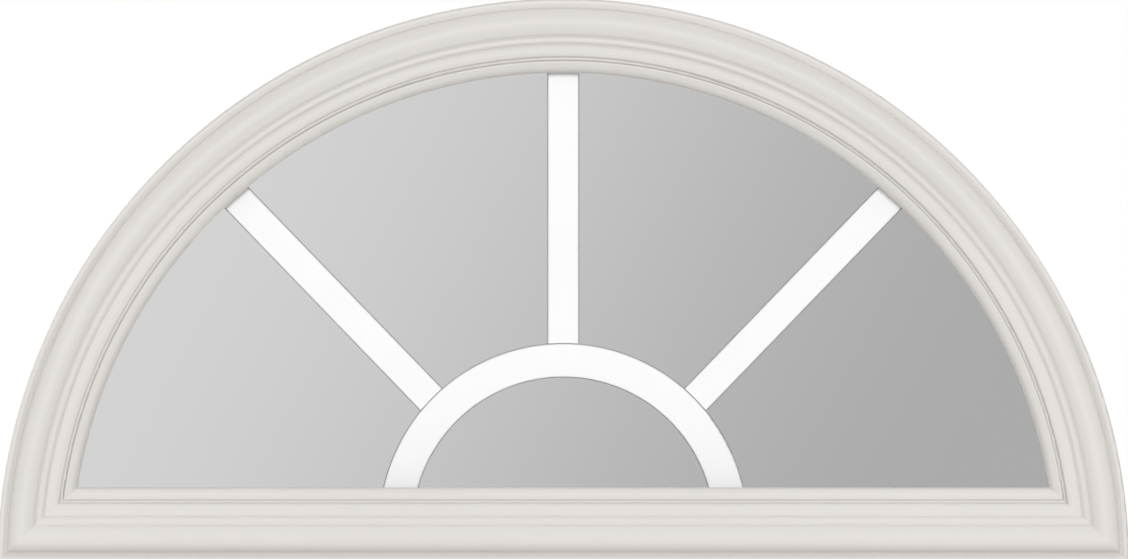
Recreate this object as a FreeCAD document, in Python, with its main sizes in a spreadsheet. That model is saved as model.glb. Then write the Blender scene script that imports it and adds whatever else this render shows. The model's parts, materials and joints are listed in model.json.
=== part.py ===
"""Half-round sunburst fanlight for a door.

Two moulded frames clamp a double-glazed unit through the door's cut-out. A flat white grille of one hub arc
and three spokes stands between the panes. Millimetres. The origin is at the middle of the flat base, on the
plane where the exterior frame bears on the door: +X to the right, +Y into the door, +Z up.
"""

import FreeCAD
import Part
import Sketcher
import math
import os
from types import SimpleNamespace

Vector = FreeCAD.Vector

# Driving dimensions: alias, value, what it measures
SIZES = (
    ("frame_radius", 304.8, "outer radius of the arch"),
    ("base_rise", 1.6, "flat base above the centre of the arch"),
    ("door_thickness", 44.45, "door slab between the two frames"),
    ("door_lap", 12.7, "how far a frame laps over the door around its cut-out"),
    ("lip_width", 4.85, "outer lip of the moulding"),
    ("lip_height", 6.3, "top of the lip above the door"),
    ("lip_round", 1.2, "rounding of the lip's outer edge"),
    ("lip_fall", 1.1, "fall of the lip to the groove beside the swelling"),
    ("lip_bulge", 0.285, "how far that fall bows out of its chord"),
    ("ovolo_width", 7.6, "main swelling, from the lip to its crest"),
    ("crest_height", 10.4, "crest above the door"),
    ("ovolo_bulge", 1.42, "how far the swelling bows out of its chord"),
    ("fall_width", 6.95, "fall behind the crest"),
    ("fall_drop", 2.9, "drop of that fall"),
    ("fall_bulge", 0.75, "how far the fall bows out of its chord"),
    ("bead_width", 4.6, "round bead behind the fall"),
    ("bead_drop", 0.3, "drop across the bead"),
    ("bead_bulge", 0.96, "how far the bead bows out of its chord"),
    ("band_width", 7.0, "flat band behind the bead"),
    ("band_lead", 1.4, "rounding at the band's outer edge"),
    ("band_lift", 0.6, "rise of the band out of the groove beside the bead"),
    ("band_lead_bulge", 0.155, "how far that rise bows out of its chord"),
    ("band_round", 2.6, "rounding at the band's inner edge"),
    ("band_drop", 1.1, "drop of that rounding"),
    ("band_bulge", 0.285, "how far that rounding bows out of its chord"),
    ("quirk_width", 0.45, "each of the two fine grooves"),
    ("quirk_depth", 1.0, "groove floor below the rounded edge of the band"),
    ("fine_bead_width", 1.5, "fine bead between the two grooves"),
    ("fine_bead_rise", 0.7, "fine bead above the groove floor"),
    ("stop_width", 6.5, "rounded glass stop at the sight edge"),
    ("stop_lift", 0.5, "start of the stop above the groove floor"),
    ("stop_drop", 2.2, "drop of the stop's round"),
    ("stop_bulge", 1.16, "how far the stop bows out of its chord"),
    ("sight_lean", 0.5, "lean of the wall from the stop back to the glass, under the stop"),
    ("sight_relief", 0.9, "how far the interior sight edge lies outside the exterior one"),
    ("skin", 2.4, "wall of the hollow moulding"),
    ("rib_thickness", 1.8, "stiffening web at each screw"),
    ("rim_width", 3.0, "flat rim that bears on the door"),
    ("caulk_recess", 2.0, "depth of the sealant recess behind the lip"),
    ("foot_width", 10.4, "foot that presses on the glass"),
    ("foot_thickness", 2.4, "thickness of that foot"),
    ("tape_thickness", 1.6, "glazing tape between foot and glass"),
    ("tape_width", 8.0, "width of the tape"),
    ("tape_setback", 0.6, "tape behind the edge of the foot"),
    ("pane_thickness", 3.2, "each pane"),
    ("air_gap", 12.6, "space between the panes"),
    ("seal_depth", 4.0, "edge seal outside the spacer"),
    ("spacer_height", 7.0, "spacer tube, seen from the edge to the middle"),
    ("spacer_wall", 0.5, "wall of the spacer tube"),
    ("key_leg", 16.0, "corner key, along each leg"),
    ("bar_width", 17.2, "face of a grille bar"),
    ("bar_thickness", 5.5, "depth of a grille bar"),
    ("bar_round", 1.5, "rounded edges of a bar"),
    ("bar_wall", 0.6, "wall of the rolled bar"),
    ("hub_width", 18.55, "face of the hub arc"),
    ("hub_radius", 90.42, "middle of the hub arc"),
    ("hub_rise", 17.9, "centre of the hub above the base"),
    ("spoke_angle", 46.0, "side spokes above the horizontal, in degrees"),
    ("spoke_aim_rise", 13.35, "point that the spokes aim at, above the base"),
    ("cope_play", 0.1, "foot of a spoke clear of the hub"),
    ("clip_plate", 1.2, "plate of a bar's end clip"),
    ("clip_width", 14.0, "plate of a clip, across the bar"),
    ("clip_depth", 8.0, "plate of a clip, from pane to pane"),
    ("tongue_length", 9.0, "tongue of a clip inside its bar"),
    ("tongue_play", 0.15, "clearance of the tongue all round"),
    ("boss_radius", 4.0, "screw boss in the door's cut-out"),
    ("boss_play", 0.5, "boss clear of the edge of the cut-out"),
    ("pane_play", 4.2, "edge of the glass clear of the bosses"),
    ("boss_sink", 0.5, "boss let into the skin behind the crest"),
    ("boss_reach", 26.0, "exterior boss behind the face of the door"),
    ("boss_gap", 1.0, "between the ends of facing bosses"),
    ("thread_play", 0.05, "screw clear of its hole in an exterior boss"),
    ("thread_engagement", 14.0, "length of screw in an exterior boss"),
    ("pilot_spare", 4.0, "hole beyond the tip of the screw"),
    ("shank_play", 0.4, "screw clear of its hole in an interior boss"),
    ("head_play", 0.5, "screw head clear of its bore"),
    ("head_seat_depth", 8.2, "seat of the screw head below the crest"),
    ("head_boss_wall", 1.9, "wall of the interior boss around the head bore"),
    ("head_boss_floor", 2.0, "floor of that boss under the head"),
    ("cap_ledge", 1.3, "width of the ledge that a screw cap sits on"),
    ("cap_gap", 0.5, "between a cap's stem and the screw head"),
    ("cap_play", 0.15, "screw cap clear of its recess and bore"),
    ("cap_rim", 1.0, "edge of a screw cap"),
    ("cap_dome", 0.6, "dome of a screw cap above its edge"),
    ("cap_stem", 1.5, "stem of a cap in the head bore"),
    ("screw_radius", 2.0, "shank of the screw"),
    ("screw_head_radius", 4.0, "head of the screw"),
    ("screw_head_height", 2.4, "head of the screw"),
    ("screw_point", 4.0, "pointed end of the screw"),
    ("screw_head_round", 1.2, "rounding of the head"),
    ("arch_screw_step", 36.0, "between screws around the arch, in degrees"),
    ("sill_screw_step", 180.0, "between screws along the base"),
)

ARCH_SCREWS = 5
SILL_SCREWS = 3
HALF_TURN = 180
QUARTER_TURN = 90
QUARTER_ROUND_BULGE = 1 - math.sqrt(0.5)


class Size:
    """A length or angle: the formula that ties a property to the sheet, and its number for a sketch."""

    def __init__(self, text, value):
        self.text = text
        self.value = value

    def __add__(self, other):
        other = as_size(other)
        return Size(f"({self.text} + {other.text})", self.value + other.value)

    def __sub__(self, other):
        other = as_size(other)
        return Size(f"({self.text} - {other.text})", self.value - other.value)

    def __mul__(self, other):
        other = as_size(other)
        return Size(f"({self.text} * {other.text})", self.value * other.value)

    def __truediv__(self, other):
        other = as_size(other)
        return Size(f"({self.text} / {other.text})", self.value / other.value)

    def __radd__(self, other):
        return as_size(other) + self

    def __rsub__(self, other):
        return as_size(other) - self

    def __rmul__(self, other):
        return as_size(other) * self

    def __neg__(self):
        return Size(f"(0 - {self.text})", -self.value)


def as_size(value):
    if isinstance(value, Size):
        return value
    return Size(f"({value!r})", value)


def root(size):
    return Size(f"sqrt({size.text})", math.sqrt(size.value))


def sine(angle):
    return Size(f"sin({angle.text})", math.sin(math.radians(angle.value)))


def cosine(angle):
    return Size(f"cos({angle.text})", math.cos(math.radians(angle.value)))


def squared(size):
    return size * size


ZERO = as_size(0.0)

doc = FreeCAD.newDocument("fanlight")
sheet = doc.addObject("Spreadsheet::Sheet", "Sizes")
for row, (alias, value, note) in enumerate(SIZES, start=1):
    sheet.set(f"A{row}", note)
    sheet.set(f"B{row}", str(value))
    sheet.setAlias(f"B{row}", alias)
doc.recompute()
sizes = SimpleNamespace(**{alias: Size(f"Sizes.{alias}", value) for alias, value, note in SIZES})

# Places that several pieces share
arch_centre_z = -sizes.base_rise
glazing_thickness = sizes.pane_thickness * 2 + sizes.air_gap
front_glass_y = (sizes.door_thickness - glazing_thickness) / 2
front_pane_back_y = front_glass_y + sizes.pane_thickness
back_pane_front_y = front_pane_back_y + sizes.air_gap
back_glass_y = back_pane_front_y + sizes.pane_thickness
middle_y = sizes.door_thickness / 2
screw_inset = sizes.door_lap + sizes.boss_play + sizes.boss_radius
pane_inset = screw_inset + sizes.boss_radius + sizes.pane_play
spacer_outer = pane_inset + sizes.seal_depth
spacer_inner = spacer_outer + sizes.spacer_height
head_seat_height = sizes.crest_height - sizes.head_seat_depth
cap_seat_height = head_seat_height + sizes.screw_head_height + sizes.cap_gap + sizes.cap_stem
screw_length = sizes.door_thickness + head_seat_height - sizes.boss_reach + sizes.thread_engagement
head_bore_radius = sizes.screw_head_radius + sizes.head_play
head_boss_radius = head_bore_radius + sizes.head_boss_wall
cap_seat_radius = head_bore_radius + sizes.cap_ledge
key_top_z = spacer_outer + sizes.key_leg
spacer_radius = sizes.frame_radius - spacer_outer
spacer_corner_x = root(squared(spacer_radius) - squared(spacer_outer + sizes.base_rise))
key_end_x = spacer_corner_x - sizes.key_leg
hub_end_z = spacer_inner + sizes.clip_plate
tongue_inset = sizes.bar_wall + sizes.tongue_play
side_lean = QUARTER_TURN - sizes.spoke_angle
far = sizes.frame_radius * 2

# Members of the moulding, as offsets inward from its outer edge
crest_at = sizes.lip_width + sizes.ovolo_width
fall_end = crest_at + sizes.fall_width
bead_end = fall_end + sizes.bead_width
band_end = bead_end + sizes.band_width
fine_bead_start = band_end + sizes.quirk_width
fine_bead_end = fine_bead_start + sizes.fine_bead_width
stop_start = fine_bead_end + sizes.quirk_width
stop_end = stop_start + sizes.stop_width
foot_edge = stop_end - sizes.sight_lean
interior_sight_edge = stop_end - sizes.sight_relief

# Heights of those members above the door
lip_groove_height = sizes.lip_height - sizes.lip_fall
fall_end_height = sizes.crest_height - sizes.fall_drop
crest_back_height = fall_end_height - sizes.skin / 2
boss_top_height = crest_back_height + sizes.boss_sink
bead_end_height = fall_end_height - sizes.bead_drop
band_height = bead_end_height + sizes.band_lift
band_edge_height = band_height - sizes.band_drop
quirk_height = band_edge_height - sizes.quirk_depth
stop_start_height = quirk_height + sizes.stop_lift
stop_end_height = stop_start_height - sizes.stop_drop
foot_back_height = sizes.tape_thickness - front_glass_y


def bind(item, **formulas):
    """Ties properties of a document object to the sheet. A double underscore in a name stands for a dot."""
    for name, size in formulas.items():
        item.setExpression(name.replace("__", "."), size.text)
    return item


def add(kind, label):
    item = doc.addObject(kind, label)
    item.Label = label
    return item


# Sketches
def pin_point(sketch, geometry, point, x, y):
    """Ties a point of a sketch to its two coordinates."""
    for kind, size in (("DistanceX", x), ("DistanceY", y)):
        index = sketch.addConstraint(Sketcher.Constraint(kind, -1, 1, geometry, point, size.value))
        sketch.setExpression(f"Constraints[{index}]", size.text)


def pin_radius(sketch, geometry, radius):
    index = sketch.addConstraint(Sketcher.Constraint("Radius", geometry, radius.value))
    sketch.setExpression(f"Constraints[{index}]", radius.text)


def draw_loop(sketch, corners):
    """Draws a closed outline. A corner is (x, y), or (x, y, bulge) before an arc that bows to the left."""
    ends = []
    for here, following in zip(corners, corners[1:] + corners[:1]):
        start = Vector(here[0].value, here[1].value, 0)
        end = Vector(following[0].value, following[1].value, 0)
        if len(here) == 2:
            geometry = sketch.addGeometry(Part.LineSegment(start, end))
            ends.append((geometry, 1, 2))
            continue
        along = end - start
        left = Vector(-along.y, along.x, 0).normalize()
        middle = (start + end) / 2 + left * here[2].value
        geometry = sketch.addGeometry(Part.Arc(start, middle, end))
        # A sketch's arcs run anticlockwise, and one that bows to the left of its chord runs clockwise
        ends.append((geometry, 2, 1))
    for index, (geometry, first, last) in enumerate(ends):
        after, after_first, _ = ends[(index + 1) % len(ends)]
        sketch.addConstraint(Sketcher.Constraint("Coincident", geometry, last, after, after_first))
        pin_point(sketch, geometry, first, corners[index][0], corners[index][1])
        if len(corners[index]) == 3:
            following = corners[(index + 1) % len(corners)]
            pin_radius(sketch, geometry, arc_radius(corners[index], following))


def arc_radius(here, following):
    """Radius of the arc over a chord that bows out by here's bulge."""
    chord_squared = squared(following[0] - here[0]) + squared(following[1] - here[1])
    return (chord_squared / 4 + squared(here[2])) / (here[2] * 2)


def draw_rectangle(sketch, low_x, low_y, high_x, high_y):
    draw_loop(sketch, [(low_x, low_y), (high_x, low_y), (high_x, high_y), (low_x, high_y)])


def draw_circle(sketch, x, y, radius):
    geometry = sketch.addGeometry(Part.Circle(Vector(x.value, y.value, 0), Vector(0, 0, 1), radius.value))
    pin_point(sketch, geometry, 3, x, y)
    pin_radius(sketch, geometry, radius)


def draw_half_round(sketch, inset):
    """Draws the fanlight's outline in its own plane, moved inward by inset: an arch over a flat base."""
    radius = sizes.frame_radius - inset
    half = math.sqrt(radius.value**2 - (inset.value + sizes.base_rise.value) ** 2)
    right = Vector(half, inset.value, 0)
    left = Vector(-half, inset.value, 0)
    top = Vector(0, arch_centre_z.value + radius.value, 0)
    arch = sketch.addGeometry(Part.Arc(right, top, left))
    base = sketch.addGeometry(Part.LineSegment(left, right))
    sketch.addConstraint(Sketcher.Constraint("Coincident", arch, 2, base, 1))
    sketch.addConstraint(Sketcher.Constraint("Coincident", base, 2, arch, 1))
    sketch.addConstraint(Sketcher.Constraint("Horizontal", base))
    pin_point(sketch, arch, 3, ZERO, arch_centre_z)
    pin_radius(sketch, arch, radius)
    level = sketch.addConstraint(Sketcher.Constraint("DistanceY", -1, 1, base, 1, inset.value))
    sketch.setExpression(f"Constraints[{level}]", inset.text)


# Bodies and their features
def body_named(label):
    return add("PartDesign::Body", label)


def sketch_on(body, name, role, lift=None):
    """A sketch on one of the body's own planes, lifted along that plane's normal."""
    sketch = body.newObject("Sketcher::SketchObject", f"{body.Label}_{name}")
    plane = next(feature for feature in body.Origin.OriginFeatures if feature.Role == role)
    sketch.AttachmentSupport = (plane, [""])
    sketch.MapMode = "FlatFace"
    if lift is not None:
        bind(sketch, AttachmentOffset__Base__z=lift)
    return sketch


def pad(body, sketch, length, midplane=False):
    feature = body.newObject("PartDesign::Pad", f"{sketch.Label}_pad")
    feature.Profile = sketch
    feature.Midplane = midplane
    bind(feature, Length=length)
    return feature


def cut_through(body, sketch):
    """Cuts a sketch right through the body, both ways from its plane."""
    feature = body.newObject("PartDesign::Pocket", f"{sketch.Label}_cut")
    feature.Profile = sketch
    feature.Type = "ThroughAll"
    feature.Midplane = True
    return feature


def revolve(body, sketch, angle):
    """Turns a sketch about its own upright axis, from the side of +X over the top."""
    feature = body.newObject("PartDesign::Revolution", f"{sketch.Label}_turn")
    feature.Profile = sketch
    feature.ReferenceAxis = (sketch, ["V_Axis"])
    feature.Angle = angle
    feature.Reversed = True
    return feature


def half_round_plate(label, front_y, back_y, outset, inset=None):
    """A plate in the fanlight's outline, or a ring where inset is given."""
    body = body_named(label)
    sketch = sketch_on(body, "outline", "XZ_Plane", lift=-back_y)
    draw_half_round(sketch, outset)
    if inset is not None:
        draw_half_round(sketch, inset)
    pad(body, sketch, back_y - front_y)
    return body


# The frames
def moulding_corners():
    """Section of the hollow moulding as (offset inward, height above the door), clockwise from its rim."""
    inner_wall = stop_end - sizes.skin
    quirk_back = quirk_height - sizes.skin
    ovolo_back = sizes.lip_width + sizes.skin
    foot_front_height = foot_back_height + sizes.foot_thickness
    edge_bulge = sizes.lip_round * QUARTER_ROUND_BULGE
    front = [
        (ZERO, ZERO),
        (ZERO, sizes.lip_height - sizes.lip_round, edge_bulge),
        (sizes.lip_round, sizes.lip_height, sizes.lip_bulge),
        (sizes.lip_width, lip_groove_height, sizes.ovolo_bulge),
        (crest_at, sizes.crest_height, sizes.fall_bulge),
        (fall_end, fall_end_height, sizes.bead_bulge),
        (bead_end, bead_end_height, sizes.band_lead_bulge),
        (bead_end + sizes.band_lead, band_height),
        (band_end - sizes.band_round, band_height, sizes.band_bulge),
        (band_end, band_edge_height),
        (band_end, quirk_height),
        (fine_bead_start, quirk_height, sizes.fine_bead_rise),
        (fine_bead_end, quirk_height),
        (stop_start, quirk_height),
        (stop_start, stop_start_height, sizes.stop_bulge),
        (stop_end, stop_end_height),
        (foot_edge, foot_back_height),
    ]
    back = [
        (foot_edge - sizes.foot_width, foot_back_height),
        (foot_edge - sizes.foot_width, foot_front_height),
        (foot_edge - sizes.skin, foot_front_height),
        (inner_wall, stop_end_height - sizes.skin / 2),
        (fine_bead_end, quirk_back),
        (band_end - sizes.skin, quirk_back),
        (bead_end, bead_end_height - sizes.skin),
        (fall_end, fall_end_height - sizes.skin),
        (crest_at, crest_back_height),
        (ovolo_back, lip_groove_height),
        (ovolo_back, sizes.caulk_recess),
        (sizes.rim_width, sizes.caulk_recess),
        (sizes.rim_width, ZERO),
    ]
    return front + back


def draw_mitre(sketch):
    """Draws the region under the mitre of arch and base, which lies equally far from both outer edges.

    Such a mitre is a parabola about the centre of the arch.
    """
    overrun = sizes.lip_width
    apex = (sizes.frame_radius - sizes.base_rise) / 2
    end_x = sizes.frame_radius + overrun
    centre = Vector(0, arch_centre_z.value, 0)
    parabola = Part.Parabola(centre, Vector(0, apex.value, 0), Vector(0, 0, 1))
    curve = sketch.addGeometry(Part.ArcOfParabola(parabola, -end_x.value, end_x.value))
    sketch.exposeInternalGeometry(curve)
    focus = curve + 1
    start = sketch.getPoint(curve, 1)
    end = sketch.getPoint(curve, 2)
    chord = sketch.addGeometry(Part.LineSegment(end, start))
    pin_point(sketch, focus, 1, ZERO, arch_centre_z)
    pin_point(sketch, curve, 3, ZERO, apex)
    sketch.addConstraint(Sketcher.Constraint("Coincident", curve, 2, chord, 1))
    sketch.addConstraint(Sketcher.Constraint("Coincident", chord, 2, curve, 1))
    for point, x in ((1, -end_x), (2, end_x)):
        index = sketch.addConstraint(Sketcher.Constraint("DistanceX", -1, 1, curve, point, x.value))
        sketch.setExpression(f"Constraints[{index}]", x.text)


def arch_moulding():
    """The moulding turned about the centre of the arch and cut away under the mitre."""
    body = body_named("arch_moulding")
    section = sketch_on(body, "section", "XY_Plane", lift=arch_centre_z)
    outline = [(sizes.frame_radius - offset, -height, *bow) for offset, height, *bow in moulding_corners()]
    draw_loop(section, outline)
    revolve(body, section, HALF_TURN)
    mitre = sketch_on(body, "mitre", "XZ_Plane")
    draw_mitre(mitre)
    cut_through(body, mitre)
    return body


def base_moulding():
    """The same moulding run along the base, kept only under the mitre."""
    body = body_named("base_moulding")
    section = sketch_on(body, "section", "YZ_Plane")
    draw_loop(section, [(-height, offset, *bow) for offset, height, *bow in moulding_corners()])
    pad(body, section, sizes.frame_radius * 2, midplane=True)
    mitre = sketch_on(body, "mitre", "XZ_Plane")
    draw_rectangle(mitre, -far, -far, far, far)
    draw_mitre(mitre)
    cut_through(body, mitre)
    return body


def fuse(label, pieces):
    item = add("Part::MultiFuse", label)
    item.Shapes = pieces
    item.Refine = True
    return item


def cut(label, base, tools):
    item = add("Part::Cut", label)
    item.Base = base
    item.Tool = fuse(f"{label}_holes", tools)
    item.Refine = True
    return item


def rod(label, place, radius, start_y, end_y):
    """A round bar from one depth to another, at a place on the face."""
    item = add("Part::Cylinder", label)
    item.Placement = FreeCAD.Placement(Vector(), FreeCAD.Rotation(Vector(1, 0, 0), -QUARTER_TURN))
    bind(item, Radius=radius, Height=end_y - start_y)
    bind(item, Placement__Base__x=place[0], Placement__Base__y=start_y, Placement__Base__z=place[1])
    return item


def arch_screw_angles():
    """Angles of the screws around the arch, from the vertical."""
    return [sizes.arch_screw_step * (number - (ARCH_SCREWS - 1) / 2) for number in range(ARCH_SCREWS)]


def sill_screw_offsets():
    return [sizes.sill_screw_step * (number - (SILL_SCREWS - 1) / 2) for number in range(SILL_SCREWS)]


def screw_places():
    """Where the screws stand on the face: around the arch, then along the base."""
    for angle in arch_screw_angles():
        ring = sizes.frame_radius - screw_inset
        yield ring * sine(angle), arch_centre_z + ring * cosine(angle)
    for x in sill_screw_offsets():
        yield x, screw_inset


def rib(number, edge_x, edge_z, turn):
    """A web that stiffens the hollow moulding at a screw, from the boss to the sight wall.

    It is drawn inward from the outer edge of the base, then turned and moved to its place on the edge.
    """
    body = body_named(f"rib_{number}")
    section = sketch_on(body, "section", "YZ_Plane")
    half_skin = sizes.skin / 2
    corners = [
        (screw_inset, ZERO),
        (screw_inset, fall_end_height - half_skin),
        (fall_end, fall_end_height - half_skin),
        (bead_end, bead_end_height - half_skin),
        (band_end - half_skin, quirk_height - half_skin),
        (fine_bead_end, quirk_height - half_skin),
        (stop_end - half_skin, stop_end_height),
        (stop_end - half_skin, ZERO),
    ]
    draw_loop(section, [(-height, offset) for offset, height in corners])
    pad(body, section, sizes.rib_thickness, midplane=True)
    body.Placement = FreeCAD.Placement(Vector(), FreeCAD.Rotation(Vector(0, 1, 0), QUARTER_TURN))
    bind(body, Placement__Rotation__Angle=turn, Placement__Base__x=edge_x, Placement__Base__z=edge_z)
    return body


def ribs():
    made = []
    for angle in arch_screw_angles():
        edge_x = sizes.frame_radius * sine(angle)
        edge_z = arch_centre_z + sizes.frame_radius * cosine(angle)
        made.append(rib(len(made) + 1, edge_x, edge_z, angle + HALF_TURN))
    for x in sill_screw_offsets():
        made.append(rib(len(made) + 1, x, ZERO, ZERO))
    return made


def exterior_frame(moulding):
    pilot_radius = sizes.screw_radius + sizes.thread_play
    bosses = []
    pilots = []
    for number, place in enumerate(screw_places(), start=1):
        boss_end = sizes.boss_reach
        bosses.append(rod(f"exterior_boss_{number}", place, sizes.boss_radius, -boss_top_height, boss_end))
        pilot_start = boss_end - sizes.thread_engagement - sizes.pilot_spare
        pilots.append(rod(f"pilot_{number}", place, pilot_radius, pilot_start, boss_end + sizes.boss_gap))
    return cut("exterior_frame", fuse("exterior_frame_blank", [moulding, *bosses]), pilots)


def interior_frame(moulding):
    """The exterior moulding mirrored across the door, with a wider sight opening and bored bosses.

    The bores take the screw heads and their caps.
    """
    mirrored = add("Part::Mirroring", "interior_moulding")
    mirrored.Source = moulding
    mirrored.Normal = Vector(0, 1, 0)
    bind(mirrored, Base__y=middle_y)
    boss_top_y = sizes.door_thickness + boss_top_height
    above_y = sizes.door_thickness + sizes.crest_height * 2
    shank_hole_radius = sizes.screw_radius + sizes.shank_play
    bosses = []
    holes = [half_round_plate("interior_sight", back_glass_y, above_y, interior_sight_edge)]
    for number, place in enumerate(screw_places(), start=1):
        boss_start = sizes.boss_reach + sizes.boss_gap
        bosses.append(rod(f"interior_boss_{number}", place, sizes.boss_radius, boss_start, boss_top_y))
        head_boss_start = sizes.door_thickness + head_seat_height - sizes.head_boss_floor
        bosses.append(rod(f"head_boss_{number}", place, head_boss_radius, head_boss_start, boss_top_y))
        holes.append(rod(f"shank_hole_{number}", place, shank_hole_radius, sizes.boss_reach, above_y))
        head_seat_y = sizes.door_thickness + head_seat_height
        holes.append(rod(f"head_bore_{number}", place, head_bore_radius, head_seat_y, above_y))
        cap_seat_y = sizes.door_thickness + cap_seat_height
        holes.append(rod(f"cap_seat_{number}", place, cap_seat_radius, cap_seat_y, above_y))
    return cut("interior_frame", fuse("interior_frame_blank", [mirrored, *bosses]), holes)


# Screws and their caps
def turned_piece(label, corners, place, seat_height):
    """A round piece turned about its own axis, which points out of the interior frame from a seat in it."""
    body = body_named(label)
    section = sketch_on(body, "section", "XZ_Plane")
    draw_loop(section, corners)
    revolve(body, section, HALF_TURN * 2)
    body.Placement = FreeCAD.Placement(Vector(), FreeCAD.Rotation(Vector(1, 0, 0), -QUARTER_TURN))
    seat_y = sizes.door_thickness + seat_height
    bind(body, Placement__Base__x=place[0], Placement__Base__y=seat_y, Placement__Base__z=place[1])
    return body


def frame_screw(number, place):
    head_bulge = sizes.screw_head_round * QUARTER_ROUND_BULGE
    corners = [
        (ZERO, -screw_length),
        (ZERO, sizes.screw_head_height),
        (sizes.screw_head_radius - sizes.screw_head_round, sizes.screw_head_height, head_bulge),
        (sizes.screw_head_radius, sizes.screw_head_height - sizes.screw_head_round),
        (sizes.screw_head_radius, ZERO),
        (sizes.screw_radius, ZERO),
        (sizes.screw_radius, sizes.screw_point - screw_length),
    ]
    return turned_piece(f"frame_screw_{number}", corners, place, head_seat_height)


def screw_cap(number, place):
    rim_radius = cap_seat_radius - sizes.cap_play
    stem_radius = head_bore_radius - sizes.cap_play
    corners = [
        (ZERO, -sizes.cap_stem),
        (ZERO, sizes.cap_rim + sizes.cap_dome, sizes.cap_dome / 4),
        (rim_radius, sizes.cap_rim),
        (rim_radius, ZERO),
        (stem_radius, ZERO),
        (stem_radius, -sizes.cap_stem),
    ]
    return turned_piece(f"screw_cap_{number}", corners, place, cap_seat_height)


# The double-glazed unit
def glazing_tape(label, front_y):
    inner = foot_edge - sizes.tape_setback
    return half_round_plate(label, front_y, front_y + sizes.tape_thickness, inner - sizes.tape_width, inner)


def spacer_arch():
    """The bent length of spacer tube, cut off level where the corner keys begin."""
    body = body_named("spacer_arch")
    section = sketch_on(body, "section", "XY_Plane", lift=arch_centre_z)
    for wall in (ZERO, sizes.spacer_wall):
        inner = sizes.frame_radius - spacer_inner + wall
        outer = sizes.frame_radius - spacer_outer - wall
        draw_rectangle(section, inner, front_pane_back_y + wall, outer, back_pane_front_y - wall)
    revolve(body, section, HALF_TURN)
    ends = sketch_on(body, "ends", "XZ_Plane")
    draw_rectangle(ends, -far, -far, far, key_top_z)
    cut_through(body, ends)
    return body


def spacer_sill():
    """The straight length of spacer tube between the corner keys."""
    body = body_named("spacer_sill")
    section = sketch_on(body, "section", "YZ_Plane")
    for wall in (ZERO, sizes.spacer_wall):
        low = spacer_outer + wall
        high = spacer_inner - wall
        draw_rectangle(section, front_pane_back_y + wall, low, back_pane_front_y - wall, high)
    pad(body, section, key_end_x * 2, midplane=True)
    return body


def corner_key(side, sign):
    """The solid key that joins the two lengths of spacer at a corner."""
    label = f"corner_key_{side}"
    body = half_round_plate(label, front_pane_back_y, back_pane_front_y, spacer_outer, spacer_inner)
    rest = sketch_on(body, "rest", "XZ_Plane")
    corners = [
        (-far, -far),
        (key_end_x, -far),
        (key_end_x, key_top_z),
        (far, key_top_z),
        (far, far),
        (-far, far),
    ]
    draw_loop(rest, [(x * sign, z) for x, z in corners])
    cut_through(body, rest)
    return body


# The grille between the panes
def rounded_bar(across, along, width, inset):
    """Clockwise outline of a bar's section of a width around a point, moved inward by inset."""
    half_width = width / 2 - inset
    half_depth = sizes.bar_thickness / 2 - inset
    rounding = sizes.bar_round - inset
    bulge = rounding * QUARTER_ROUND_BULGE
    left = across - half_width
    right = across + half_width
    low = along - half_depth
    high = along + half_depth
    return [
        (left, low + rounding),
        (left, high - rounding, bulge),
        (left + rounding, high),
        (right - rounding, high, bulge),
        (right, high - rounding),
        (right, low + rounding, bulge),
        (right - rounding, low),
        (left + rounding, low, bulge),
    ]


def grille_hub():
    """The half-round hub, cut off level just above the spacer."""
    body = body_named("grille_hub")
    section = sketch_on(body, "section", "XY_Plane", lift=sizes.hub_rise)
    draw_loop(section, rounded_bar(sizes.hub_radius, middle_y, sizes.hub_width, ZERO))
    draw_loop(section, rounded_bar(sizes.hub_radius, middle_y, sizes.hub_width, sizes.bar_wall))
    revolve(body, section, HALF_TURN)
    ends = sketch_on(body, "ends", "XZ_Plane")
    draw_rectangle(ends, -far, -far, far, hub_end_z)
    cut_through(body, ends)
    return body


def hub_clip(side, sign):
    """The clip that holds an end of the hub on the spacer: a plate, and a tongue curved to fit the hub."""
    body = body_named(f"hub_clip_{side}")
    section = sketch_on(body, "section", "XY_Plane", lift=sizes.hub_rise)
    draw_loop(section, rounded_bar(sizes.hub_radius, middle_y, sizes.hub_width, tongue_inset))
    revolve(body, section, HALF_TURN)
    window = sketch_on(body, "window", "XZ_Plane")
    draw_rectangle(window, -far, -far, far, far)
    draw_rectangle(window, ZERO, hub_end_z, far * sign / 2, hub_end_z + sizes.tongue_length)
    cut_through(body, window)
    plate = sketch_on(body, "plate", "XY_Plane", lift=spacer_inner)
    end_x = root(squared(sizes.hub_radius) - squared(hub_end_z - sizes.hub_rise)) * sign
    draw_clip_plate(plate, end_x, middle_y)
    pad(body, plate, sizes.clip_plate)
    return body


def draw_clip_plate(sketch, across, along):
    half_width = sizes.clip_width / 2
    half_depth = sizes.clip_depth / 2
    draw_rectangle(sketch, across - half_width, along - half_depth, across + half_width, along + half_depth)


def place_spoke(body, sign, lean):
    """Stands an upright piece on the point that the spokes aim at and leans it to a side."""
    body.Placement = FreeCAD.Placement(Vector(), FreeCAD.Rotation(Vector(0, sign, 0), QUARTER_TURN / 2))
    bind(body, Placement__Rotation__Angle=lean)
    bind(body, Placement__Base__y=middle_y, Placement__Base__z=sizes.spoke_aim_rise)


def seen_from_spoke(rise, sign, lean):
    """A point on the upright centre line at a rise, in a leaning spoke's own across and along."""
    above = rise - sizes.spoke_aim_rise
    return -sign * above * sine(lean), above * cosine(lean)


def spoke_end(lean):
    """How far along a spoke its clip's plate begins."""
    above = sizes.spoke_aim_rise - arch_centre_z
    end_radius = sizes.frame_radius - spacer_inner - sizes.clip_plate
    slope = above * cosine(lean)
    return root(squared(slope) - squared(above) + squared(end_radius)) - slope


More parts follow.
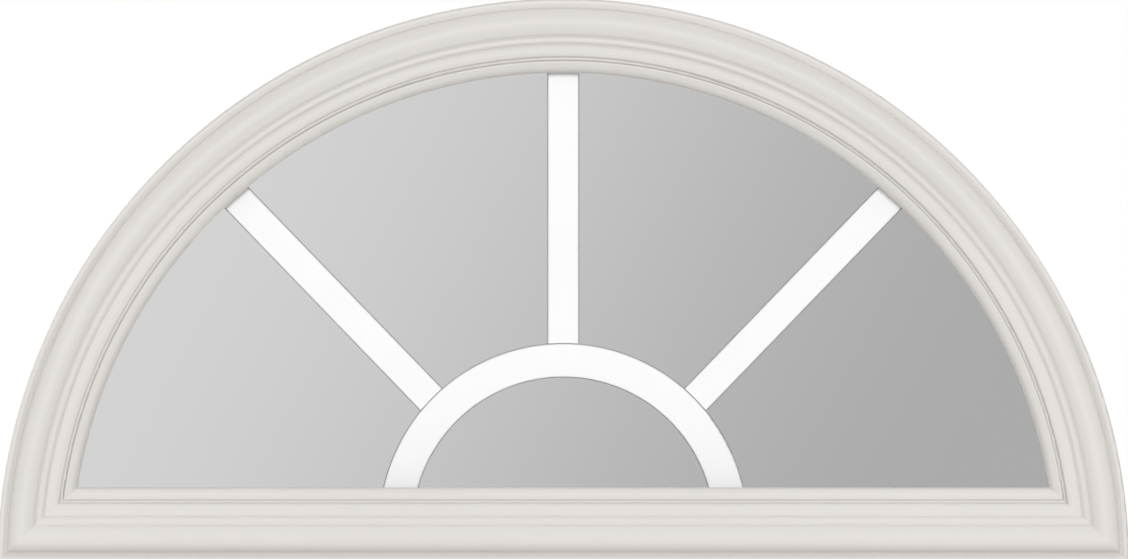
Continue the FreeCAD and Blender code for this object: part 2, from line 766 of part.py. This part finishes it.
def grille_spoke(side, sign, lean):
    """A straight bar, coped at its foot to the outside of the hub."""
    body = body_named(f"grille_spoke_{side}")
    section = sketch_on(body, "section", "XY_Plane")
    draw_loop(section, rounded_bar(ZERO, ZERO, sizes.bar_width, ZERO))
    draw_loop(section, rounded_bar(ZERO, ZERO, sizes.bar_width, sizes.bar_wall))
    pad(body, section, spoke_end(lean))
    cope = sketch_on(body, "cope", "XZ_Plane")
    across, along = seen_from_spoke(sizes.hub_rise, sign, lean)
    draw_circle(cope, across, along, sizes.hub_radius + sizes.hub_width / 2 + sizes.cope_play)
    cut_through(body, cope)
    place_spoke(body, sign, lean)
    return body


def spoke_clip(side, sign, lean):
    """The clip that holds the top of a spoke: a plate shaped to the spacer, and a tongue inside the bar."""
    body = body_named(f"spoke_clip_{side}")
    end = spoke_end(lean)
    plate = sketch_on(body, "plate", "XY_Plane", lift=end)
    draw_clip_plate(plate, ZERO, ZERO)
    pad(body, plate, sizes.clip_plate * 2)
    seat = sketch_on(body, "seat", "XZ_Plane")
    across, along = seen_from_spoke(arch_centre_z, sign, lean)
    draw_circle(seat, across, along, sizes.frame_radius - spacer_inner)
    draw_circle(seat, across, along, far)
    cut_through(body, seat)
    tongue = sketch_on(body, "tongue", "XY_Plane", lift=end - sizes.tongue_length)
    draw_loop(tongue, rounded_bar(ZERO, ZERO, sizes.bar_width, tongue_inset))
    pad(body, tongue, sizes.tongue_length)
    place_spoke(body, sign, lean)
    return body


# Everything, in the order it is put together
moulding = fuse("moulding", [arch_moulding(), base_moulding(), *ribs()])
pieces = [
    exterior_frame(moulding),
    interior_frame(moulding),
    half_round_plate("exterior_pane", front_glass_y, front_pane_back_y, pane_inset),
    half_round_plate("interior_pane", back_pane_front_y, back_glass_y, pane_inset),
    glazing_tape("exterior_tape", front_glass_y - sizes.tape_thickness),
    glazing_tape("interior_tape", back_glass_y),
    half_round_plate("edge_seal", front_pane_back_y, back_pane_front_y, pane_inset, spacer_outer),
    spacer_arch(),
    spacer_sill(),
    grille_hub(),
]
for side, sign in (("left", -1), ("right", 1)):
    pieces.append(corner_key(side, sign))
    pieces.append(hub_clip(side, sign))
for side, sign, lean in (("left", -1, side_lean), ("centre", 1, ZERO), ("right", 1, side_lean)):
    pieces.append(grille_spoke(side, sign, lean))
    pieces.append(spoke_clip(side, sign, lean))
for number, place in enumerate(screw_places(), start=1):
    pieces.append(frame_screw(number, place))
    pieces.append(screw_cap(number, place))

doc.recompute()
failed = [item.Label for item in doc.Objects if "Invalid" in item.State or "Error" in item.State]
broken = [piece.Label for piece in pieces if piece.Shape.isNull() or not piece.Shape.isValid()]
if failed or broken:
    raise RuntimeError(f"failed objects {failed}, broken shapes {broken}")

os.makedirs("parts", exist_ok=True)
for piece in pieces:
    piece.Shape.exportStep(f"parts/{piece.Label}.step")
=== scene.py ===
import json
import math

import bpy
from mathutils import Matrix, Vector


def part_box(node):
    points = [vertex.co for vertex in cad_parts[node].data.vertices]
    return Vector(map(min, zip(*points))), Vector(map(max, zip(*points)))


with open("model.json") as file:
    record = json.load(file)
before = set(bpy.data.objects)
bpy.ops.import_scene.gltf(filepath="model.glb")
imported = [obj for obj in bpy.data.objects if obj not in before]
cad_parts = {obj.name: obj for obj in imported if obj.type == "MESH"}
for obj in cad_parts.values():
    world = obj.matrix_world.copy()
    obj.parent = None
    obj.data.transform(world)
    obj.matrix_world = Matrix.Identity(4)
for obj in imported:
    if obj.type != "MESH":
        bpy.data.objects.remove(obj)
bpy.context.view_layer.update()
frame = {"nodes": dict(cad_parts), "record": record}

MM = 0.001

# Where the fanlight lies in the photo, in pixels
PHOTO_WIDTH_PX = 1128
PHOTO_HEIGHT_PX = 559
PHOTO_BASE_PX = 561.6
PHOTO_MIDDLE_PX = 563.3
PHOTO_SPAN_PX = 1132.0

# Sizes of the fanlight that its finishes follow
frame_low, frame_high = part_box("exterior_frame")
FRAME_RADIUS = (frame_high.x - frame_low.x) / 2
ARCH_CENTRE_Z = frame_high.z - FRAME_RADIUS
spacer_low, spacer_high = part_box("spacer_arch")
SPACER_MIDDLE_Y = (spacer_low.y + spacer_high.y) / 2
pane_low, pane_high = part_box("interior_pane")
PANE_MIDDLE_Y = (pane_low.y + pane_high.y) / 2
SILL_TOP_MM = 40.0
HUB_RADIUS_MM = 90.42
HUB_RISE_MM = 17.9
SPOKE_AIM_RISE_MM = 13.35
SPOKE_ANGLES = (46.0, 90.0, 134.0)


class Wire:
    """One output of a node. Sums and products of wires add the nodes that work them out."""

    def __init__(self, finish, socket):
        self.finish = finish
        self.socket = socket

    def maths(self, operation, *terms):
        return self.finish.node("ShaderNodeMath", dict(enumerate(terms)), operation=operation)

    def __add__(self, other):
        return self.maths("ADD", self, other)

    def __radd__(self, other):
        return self.maths("ADD", other, self)

    def __sub__(self, other):
        return self.maths("SUBTRACT", self, other)

    def __rsub__(self, other):
        return self.maths("SUBTRACT", other, self)

    def __mul__(self, other):
        return self.maths("MULTIPLY", self, other)

    def __rmul__(self, other):
        return self.maths("MULTIPLY", other, self)

    def __truediv__(self, other):
        return self.maths("DIVIDE", self, other)

    def __rtruediv__(self, other):
        return self.maths("DIVIDE", other, self)

    def __pow__(self, other):
        return self.maths("POWER", self, other)

    def __rpow__(self, other):
        return self.maths("POWER", other, self)

    def __mod__(self, other):
        return self.maths("FLOORED_MODULO", self, other)

    def __rmod__(self, other):
        return self.maths("FLOORED_MODULO", other, self)

    def __abs__(self):
        return self.maths("ABSOLUTE", self)

    def least(self, other):
        return self.maths("MINIMUM", self, other)

    def most(self, other):
        return self.maths("MAXIMUM", self, other)

    def angle_from(self, other):
        return self.maths("ARCTAN2", self, other)

    def spread(self, low, high):
        """Runs from low to high as the wire runs from 0 to 1."""
        return low + self * (high - low)

    def step_between(self, low, high):
        """0 below low, 1 above high, and smooth between them."""
        values = {"Value": self, "From Min": low, "From Max": high, "To Min": 0.0, "To Max": 1.0}
        return self.finish.node("ShaderNodeMapRange", values, interpolation_type="SMOOTHSTEP", clamp=True)

    def near(self, middle, half, blur):
        """1 within half of the middle, and 0 from half and blur outward."""
        return 1 - abs(self - middle).step_between(half, half + blur)


class Finish:
    """The nodes of a material, or of the studio's backdrop, put together one by one."""

    def __init__(self, owner):
        self.owner = owner
        owner.use_nodes = True
        self.tree = owner.node_tree
        self.tree.nodes.clear()

    @classmethod
    def named(cls, name):
        return cls(bpy.data.materials.new(name))

    def node(self, kind, values=None, output=0, **settings):
        """Adds a node: its settings first, then the values or wires of its sockets. Gives one output back."""
        made = self.tree.nodes.new(kind)
        for name, setting in settings.items():
            setattr(made, name, setting)
        for key, value in (values or {}).items():
            socket = made.inputs[key]
            if isinstance(value, Wire):
                self.tree.links.new(value.socket, socket)
            else:
                socket.default_value = value
        return Wire(self, made.outputs[output] if made.outputs else None)

    def mix(self, painted_shade_share, first, second):
        """Blends two colours."""
        values = {0: painted_shade_share, 6: first, 7: second}
        return self.node("ShaderNodeMix", values, output=2, data_type="RGBA", clamp_factor=True)

    def blend(self, painted_shade_share, first, second):
        """Blends two whole finishes."""
        return self.node("ShaderNodeMixShader", {0: painted_shade_share, 1: first, 2: second})

    def place(self):
        """Where a point lies on the fanlight, in metres."""
        return self.node("ShaderNodeTexCoord", output="Object")

    def place_in_box(self):
        """Where a point lies in its own piece's box, from 0 to 1 each way."""
        return self.node("ShaderNodeTexCoord", output="Generated")

    def parts(self, vector):
        """The three numbers of a vector."""
        split = self.node("ShaderNodeSeparateXYZ", {0: vector})
        return [Wire(self, socket) for socket in split.socket.node.outputs]

    def noise(self, scale, detail=2.0, roughness=0.5):
        values = {"Vector": self.place(), "Scale": scale, "Detail": detail, "Roughness": roughness}
        return self.node("ShaderNodeTexNoise", values)

    def cells(self, scale):
        """Distance from the middles of scattered cells."""
        return self.node("ShaderNodeTexVoronoi", {"Vector": self.place(), "Scale": scale})

    def faceward(self):
        """1 where a surface faces the front or the back of the fanlight, 0 where it faces an edge."""
        across, through, up = self.parts(self.node("ShaderNodeNewGeometry", output="Normal"))
        return abs(through)

    def bump(self, height, strength, distance):
        return self.node("ShaderNodeBump", {"Height": height, "Strength": strength, "Distance": distance})

    def clear(self, tint):
        """A body that light goes through, taking on a tint."""
        return self.node("ShaderNodeBsdfTransparent", {"Color": tint})

    def solid(self, **values):
        """A plain solid surface. Underscores in the names of its values stand for spaces."""
        sockets = {name.replace("_", " "): value for name, value in values.items()}
        return self.surface(self.node("ShaderNodeBsdfPrincipled", sockets))

    def surface(self, shader, output="ShaderNodeOutputMaterial"):
        self.node(output, {"Surface": shader})
        return self.owner


def grey(level):
    return (level, level, level, 1.0)


def edge_offsets(finish):
    """How far a point of the frame lies inward of the arch's outer edge and of the base's, in millimetres."""
    x, y, z = finish.parts(finish.place())
    up = z - ARCH_CENTRE_Z
    from_arch = (FRAME_RADIUS - (x * x + up * up) ** 0.5) / MM
    return from_arch, z / MM


# The frames and the screw caps
FRAME_WHITES = ((0.660, 0.632, 0.608, 1), (0.698, 0.670, 0.645, 1))
CAP_WHITE = (0.72, 0.695, 0.67, 1)
# The grey of the painted shade that darkens the frame's grooves, slopes and edges and the rims of the screw
# caps.
PAINTED_SHADE_GREY = (0.43, 0.41, 0.39, 1)
PLASTIC_IOR = 1.46
MITRE_BLUR_MM = 1.0
CROWN_FROM, CROWN_TO = 0.45, 0.9
CAP_RIM_FROM, CAP_RIM_TO = 0.38, 0.49

# Painted shade on the moulding, in streaks where its grooves and slopes fall into shade: middle and half
# width of each streak inward from the outer edge, and how far it fades, in millimetres, then its share along
# the sides of the arch, at its crown and along the sill
SHADE_STREAKS = (
    (0.6, 0.2, 0.4, 0.05, 0.50, 0.00),
    (3.6, 0.3, 1.9, 0.42, 0.22, 0.22),
    (5.5, 0.5, 5.0, 0.00, 0.00, 0.25),
    (8.0, 1.0, 3.5, 0.10, 0.22, 0.00),
    (12.5, 2.0, 4.0, 0.00, 0.06, 0.00),
    (17.5, 1.5, 4.0, 0.15, 0.15, 0.00),
    (18.8, 0.3, 1.4, 0.12, 0.00, 0.00),
    (20.0, 0.3, 1.4, 0.00, 0.35, 0.00),
    (23.2, 0.3, 1.4, 0.30, 0.00, 0.00),
    (24.3, 0.3, 1.9, 0.00, 0.40, 0.00),
    (28.0, 2.0, 1.5, 0.02, 0.12, 0.00),
    (31.2, 0.2, 0.5, 0.60, 0.70, 0.15),
    (33.2, 0.2, 0.5, 0.70, 0.95, 0.45),
    (37.0, 2.2, 0.8, 0.20, 0.32, 0.00),
    (39.6, 0.2, 0.5, 0.00, 0.25, 0.30),
    (40.0, 0.1, 4.4, 0.35, 0.35, 0.00),
)


def moulded_white():
    """Warm white moulded plastic with a satin grain. Painted shade darkens its grooves, its slopes and the
    edge along the glass.
    """
    finish = Finish.named("moulded_white")
    cloud = finish.noise(scale=8.0, detail=4.0)
    colour = finish.mix(cloud, *FRAME_WHITES)
    from_arch, from_base = edge_offsets(finish)
    offset = from_arch.least(from_base)
    on_sill = (from_arch - from_base).step_between(-MITRE_BLUR_MM, MITRE_BLUR_MM)
    on_crown = (from_base * MM / FRAME_RADIUS).step_between(CROWN_FROM, CROWN_TO) * (1 - on_sill)
    on_sides = 1 - on_sill - on_crown
    # Painted shade: each streak darkens the moulding where its grooves and slopes lie in shade, on
    # front-facing surfaces only.
    painted_shade = 0.0
    for middle, half, fade, side_share, crown_share, sill_share in SHADE_STREAKS:
        painted_shade_share = on_sides * side_share + on_crown * crown_share + on_sill * sill_share
        painted_shade = offset.near(middle, half, fade) * painted_shade_share + painted_shade
    painted_shade = painted_shade * finish.faceward().step_between(low=0.2, high=0.5)
    grain = finish.noise(scale=2200.0, detail=3.0)
    return finish.solid(
        Base_Color=finish.mix(painted_shade, colour, PAINTED_SHADE_GREY),
        Roughness=grain.spread(0.40, 0.54),
        Normal=finish.bump(grain, strength=0.05, distance=0.2 * MM),
        IOR=PLASTIC_IOR,
    )


def cap_white():
    """The screw caps, smoother than the frame, with painted shade around their rims."""
    finish = Finish.named("cap_white")
    across, through, up = finish.parts(finish.place_in_box())
    across = across - 0.5
    up = up - 0.5
    # Painted shade: a grey ring darkens each cap toward its rim.
    rim_shade = ((across * across + up * up) ** 0.5).step_between(CAP_RIM_FROM, CAP_RIM_TO)
    grain = finish.noise(scale=900.0, detail=3.0)
    return finish.solid(
        Base_Color=finish.mix(rim_shade, CAP_WHITE, PAINTED_SHADE_GREY),
        Roughness=grain.spread(0.30, 0.40),
        IOR=PLASTIC_IOR,
    )


# The bars of the sunburst
ENAMEL_WHITES = (grey(0.862), grey(0.880))
# The grey of the painted shade on the bars' edges.
ENAMEL_EDGE_SHADE = grey(0.36)
ENAMEL_IOR = 1.5


def white_enamel():
    """Bright enamel on the rolled bars, with painted shade where it turns over their edges."""
    finish = Finish.named("white_enamel")
    cloud = finish.noise(scale=30.0)
    face = finish.mix(cloud, *ENAMEL_WHITES)
    # Painted shade: the bars turn grey where their surface turns away from the front.
    edge_shade = 1 - finish.faceward().step_between(low=0.62, high=0.84)
    flow = finish.noise(scale=400.0, detail=1.0)
    return finish.solid(
        Base_Color=finish.mix(edge_shade, face, ENAMEL_EDGE_SHADE),
        Roughness=flow.spread(0.28, 0.36),
        Normal=finish.bump(flow, strength=0.05, distance=0.2 * MM),
        IOR=ENAMEL_IOR,
    )


# The glass
CLEAR_TINT = grey(0.997)
# The two ends of the graded pane's grey tint, with painted shade running from pale at the upper left to dark
# at the lower right.
PALE_TINT = grey(0.662)
DARK_TINT = grey(0.411)
CUT_GLASS_GREEN = (0.28, 0.42, 0.37, 1)
CUT_GLASS_ROUGHNESS = 0.5
POLISH_ROUGHNESS = 0.02
MIRROR_POWER = 4.0
MIRROR_MOST = 0.96

# The painted shade's way across the coating from pale to dark: how much it follows x and falls with z, its
# middle and half its length
GRADE_ACROSS = 0.843
GRADE_DOWN = 0.45
GRADE_MIDDLE_Z = 0.140
GRADE_HALF_LENGTH = 0.225

# The strips behind the bars where the coating leaves off
BARE_HALF_WIDTH_MM = 5.8
BARE_FADE_MM = 2.6
BARE_END_FADE_MM = 1.0
COATED_SIDE_BLUR = 0.1 * MM


def sheet_glass(name, body):
    """Flat glass: its body lets the light through, and it mirrors more the more it is seen aslant."""
    finish = Finish.named(name)
    facing = finish.node("ShaderNodeLayerWeight", {"Blend": 0.5}, output="Facing")
    mirror = facing**MIRROR_POWER * MIRROR_MOST
    gloss = finish.node("ShaderNodeBsdfGlossy", {"Roughness": POLISH_ROUGHNESS, "Color": grey(1.0)})
    sheet = finish.blend(mirror, body(finish), gloss)
    cut_values = {"Base Color": CUT_GLASS_GREEN, "Roughness": CUT_GLASS_ROUGHNESS}
    cut_edge = finish.node("ShaderNodeBsdfPrincipled", cut_values)
    at_edge = 1 - finish.faceward().step_between(low=0.3, high=0.6)
    return finish.surface(finish.blend(at_edge, sheet, cut_edge))


def clear_body(finish):
    return finish.clear(CLEAR_TINT)


def behind_bars(x, z):
    """1 on the strips of glass that the hub and the spokes hide from the front."""
    across = x / MM
    rise = z / MM - HUB_RISE_MM
    from_hub_centre = (across * across + rise * rise) ** 0.5
    strips = from_hub_centre.near(HUB_RADIUS_MM, BARE_HALF_WIDTH_MM, BARE_FADE_MM)
    rise = z / MM - SPOKE_AIM_RISE_MM
    for angle in SPOKE_ANGLES:
        sine = math.sin(math.radians(angle))
        cosine = math.cos(math.radians(angle))
        strip = (across * sine - rise * cosine).near(0.0, BARE_HALF_WIDTH_MM, BARE_FADE_MM)
        along = across * cosine + rise * sine
        strips = strips.most(strip * along.step_between(HUB_RADIUS_MM - BARE_END_FADE_MM, HUB_RADIUS_MM))
    return strips


def graded_body(finish):
    """Glass coated grey on its inner side, with painted shade that makes it darker to the lower right, and
    bare behind the bars.
    """
    x, y, z = finish.parts(finish.place())
    # Painted shade: the tint grows darker toward the lower right.
    along = x * GRADE_ACROSS - (z - GRADE_MIDDLE_Z) * GRADE_DOWN
    painted_shade_share = along.step_between(-GRADE_HALF_LENGTH, GRADE_HALF_LENGTH)
    shaded_coating = finish.blend(painted_shade_share, finish.clear(PALE_TINT), finish.clear(DARK_TINT))
    outer_side = y.step_between(PANE_MIDDLE_Y - COATED_SIDE_BLUR, PANE_MIDDLE_Y + COATED_SIDE_BLUR)
    bare = outer_side.most(behind_bars(x, z))
    return finish.blend(bare, shaded_coating, clear_body(finish))


# The spacer between the panes, with its slots
SPACER_GREYS = (grey(0.60), grey(0.74))
SLOT_BLACK = grey(0.03)
SLOT_PITCH_MM = 4.0
SLOT_HALF_LENGTH_MM = 0.9
SLOT_HALF_WIDTH_MM = 0.22
SLOT_ROW_MM = 2.2
SLOT_ROUGHNESS = 0.3
SLOT_DEPTH = 3.0
SILL_BLUR_MM = 2.0


def perforated_spacer():
    """Mill aluminium, drawn lengthwise, with two rows of small slots that let the drying beads breathe."""
    finish = Finish.named("perforated_spacer")
    x, y, z = finish.parts(finish.place())
    up = z - ARCH_CENTRE_Z
    run = up.angle_from(x) * FRAME_RADIUS / MM
    along_sill = 1 - (z / MM).step_between(SILL_TOP_MM - SILL_BLUR_MM, SILL_TOP_MM + SILL_BLUR_MM)
    run = run * (1 - along_sill) + x / MM * along_sill
    slot = abs(run % SLOT_PITCH_MM - SLOT_PITCH_MM / 2).near(0.0, SLOT_HALF_LENGTH_MM, blur=0.15)
    rows = (abs(y - SPACER_MIDDLE_Y) / MM).near(SLOT_ROW_MM, SLOT_HALF_WIDTH_MM, blur=0.1)
    inner_face = 1 - finish.faceward().step_between(low=0.4, high=0.6)
    hole = slot * rows * inner_face
    drawn = finish.noise(scale=700.0, detail=3.0)
    return finish.solid(
        Base_Color=finish.mix(hole, finish.mix(drawn, *SPACER_GREYS), SLOT_BLACK),
        Metallic=1 - hole,
        Roughness=drawn.spread(0.30, 0.48) + hole * SLOT_ROUGHNESS,
        Normal=finish.bump(drawn - hole * SLOT_DEPTH, strength=0.1, distance=0.3 * MM),
    )


# The small pieces
NYLON_WHITES = ((0.76, 0.76, 0.74, 1), (0.84, 0.84, 0.82, 1))
FOAM_WHITES = ((0.60, 0.60, 0.58, 1), (0.76, 0.76, 0.74, 1))
SEALANT_BLACKS = (grey(0.016), grey(0.035))
ZINC_GREYS = ((0.56, 0.56, 0.55, 1), (0.72, 0.71, 0.68, 1))


def white_nylon():
    """The end clips and corner keys."""
    finish = Finish.named("white_nylon")
    cloud = finish.noise(scale=120.0, detail=3.0)
    return finish.solid(
        Base_Color=finish.mix(cloud, *NYLON_WHITES),
        Roughness=cloud.spread(0.42, 0.52),
        Normal=finish.bump(cloud, strength=0.1, distance=0.2 * MM),
    )


def foam_tape():
    """White closed-cell foam, dimpled all over."""
    finish = Finish.named("foam_tape")
    cells = finish.cells(scale=1500.0)
    return finish.solid(
        Base_Color=finish.mix(cells, *FOAM_WHITES),
        Roughness=0.85,
        Normal=finish.bump(cells, strength=0.5, distance=0.3 * MM),
    )


def trowelled_seal():
    """Dark sealant, smoothed along the edge of the glass."""
    finish = Finish.named("trowelled_seal")
    drag = finish.noise(scale=160.0, detail=4.0, roughness=0.6)
    return finish.solid(
        Base_Color=finish.mix(drag, *SEALANT_BLACKS),
        Roughness=drag.spread(0.45, 0.75),
        Normal=finish.bump(drag, strength=0.4, distance=0.6 * MM),
    )


def zinc_plate():
    """The screws, bright with a faint bloom."""
    finish = Finish.named("zinc_plate")
    bloom = finish.noise(scale=500.0, detail=4.0)
    return finish.solid(
        Base_Color=finish.mix(bloom, *ZINC_GREYS),
        Metallic=1.0,
        Roughness=bloom.spread(0.24, 0.44),
        Normal=finish.bump(bloom, strength=0.1, distance=0.1 * MM),
    )


# Which finish goes on which piece
finishes = {
    "frame": moulded_white(),
    "cap": cap_white(),
    "grille": white_enamel(),
    "spacer": perforated_spacer(),
    "clip": white_nylon(),
    "tape": foam_tape(),
    "seal": trowelled_seal(),
    "screw": zinc_plate(),
}
panes = {
    "exterior_pane": sheet_glass("clear_pane", clear_body),
    "interior_pane": sheet_glass("graded_pane", graded_body),
}
for subpart in frame["record"]["subparts"]:
    name = subpart["node"]
    slot = "cap" if name.startswith("screw_cap") else subpart["material_slot"]
    materials = frame["nodes"][name].data.materials
    materials.clear()
    materials.append(panes[name] if name in panes else finishes[slot])


# The studio
FILL_STRENGTH = 0.3
LENS_MM = 800.0
SENSOR_MM = 36.0
FLOOR_REACH = 40.0
PAPER_GREY = grey(0.85)
PAPER_RADIUS, WHITE_RADIUS = 0.38, 1.0
WHITE_SHARE_NEAR = 0.6
LAMP_DISTANCE = 2.5

# The lamps: the way each one shines, its strength, and its spread in degrees
LAMPS = {
    "key_light": ((0.0, 1.0, -0.04), 2.5, 8.0),
    "top_light": ((0.0, 0.05, -1.0), 0.75, 30.0),
    "left_light": ((1.0, 0.0, -0.25), 0.2, 30.0),
    "right_light": ((-1.0, 0.0, -0.25), 0.3, 30.0),
    "back_light": ((-0.1, -1.0, -0.2), 2.0, 20.0),
}


def seen_rays(finish):
    """1 for what the camera sees, straight or by way of glass or gloss, and 0 for light on its way around."""
    rays = finish.node("ShaderNodeLightPath").socket.node.outputs
    seen = Wire(finish, rays["Is Camera Ray"])
    for kind in ("Is Glossy Ray", "Is Transmission Ray"):
        seen = seen.most(Wire(finish, rays[kind]))
    return seen


def backdrop():
    """White where it is seen, and a faint even fill on everything else."""
    world = bpy.data.worlds.new("backdrop")
    bpy.context.scene.world = world
    finish = Finish(world)
    fill = finish.node("ShaderNodeBackground", {"Color": grey(1.0), "Strength": FILL_STRENGTH})
    white = finish.node("ShaderNodeBackground", {"Color": grey(1.0), "Strength": 1.0})
    finish.surface(finish.blend(seen_rays(finish), fill, white), "ShaderNodeOutputWorld")


def hang_lamp(name, toward, strength, spread):
    """A far lamp that shines along a direction. No gloss mirrors it."""
    lamp = bpy.data.lights.new(name, "SUN")
    lamp.energy = strength
    lamp.angle = math.radians(spread)
    made = bpy.data.objects.new(name, lamp)
    made.location = -LAMP_DISTANCE * Vector(toward)
    made.rotation_euler = Vector(toward).to_track_quat("-Z", "Y").to_euler()
    made.visible_glossy = False
    bpy.context.scene.collection.objects.link(made)


def camera():
    """Square on to the front and far off, with the fanlight where the photo has it."""
    metres_per_px = FRAME_RADIUS * 2 / PHOTO_SPAN_PX
    data = bpy.data.cameras.new("camera")
    data.lens = LENS_MM
    data.sensor_width = SENSOR_MM
    view_width = PHOTO_WIDTH_PX * metres_per_px
    made = bpy.data.objects.new("camera", data)
    made.location = (
        (PHOTO_WIDTH_PX / 2 - PHOTO_MIDDLE_PX) * metres_per_px,
        frame_low.y - view_width * LENS_MM / SENSOR_MM,
        (PHOTO_BASE_PX - PHOTO_HEIGHT_PX / 2) * metres_per_px,
    )
    made.rotation_euler = (math.pi / 2, 0, 0)
    bpy.context.scene.collection.objects.link(made)
    bpy.context.scene.camera = made


def floor():
    """Pale paper around the fanlight that turns to white farther out."""
    corners = [(-1, -1), (1, -1), (1, 1), (-1, 1)]
    mesh = bpy.data.meshes.new("floor")
    mesh.from_pydata([(x * FLOOR_REACH, y * FLOOR_REACH, 0) for x, y in corners], [], [(0, 1, 2, 3)])
    made = bpy.data.objects.new("floor", mesh)
    bpy.context.scene.collection.objects.link(made)
    finish = Finish.named("studio_paper")
    x, y, z = finish.parts(finish.place())
    away = (x * x + y * y) ** 0.5
    paper = finish.node("ShaderNodeBsdfDiffuse", {"Color": PAPER_GREY})
    white = finish.node("ShaderNodeEmission", {"Color": grey(1.0), "Strength": 1.0})
    whiteness = away.step_between(PAPER_RADIUS, WHITE_RADIUS).spread(WHITE_SHARE_NEAR, 1.0)
    mesh.materials.append(finish.surface(finish.blend(whiteness * seen_rays(finish), paper, white)))


backdrop()
for name, (toward, strength, spread) in LAMPS.items():
    hang_lamp(name, toward, strength, spread)
camera()
floor()
bpy.context.scene.view_settings.view_transform = "Standard"
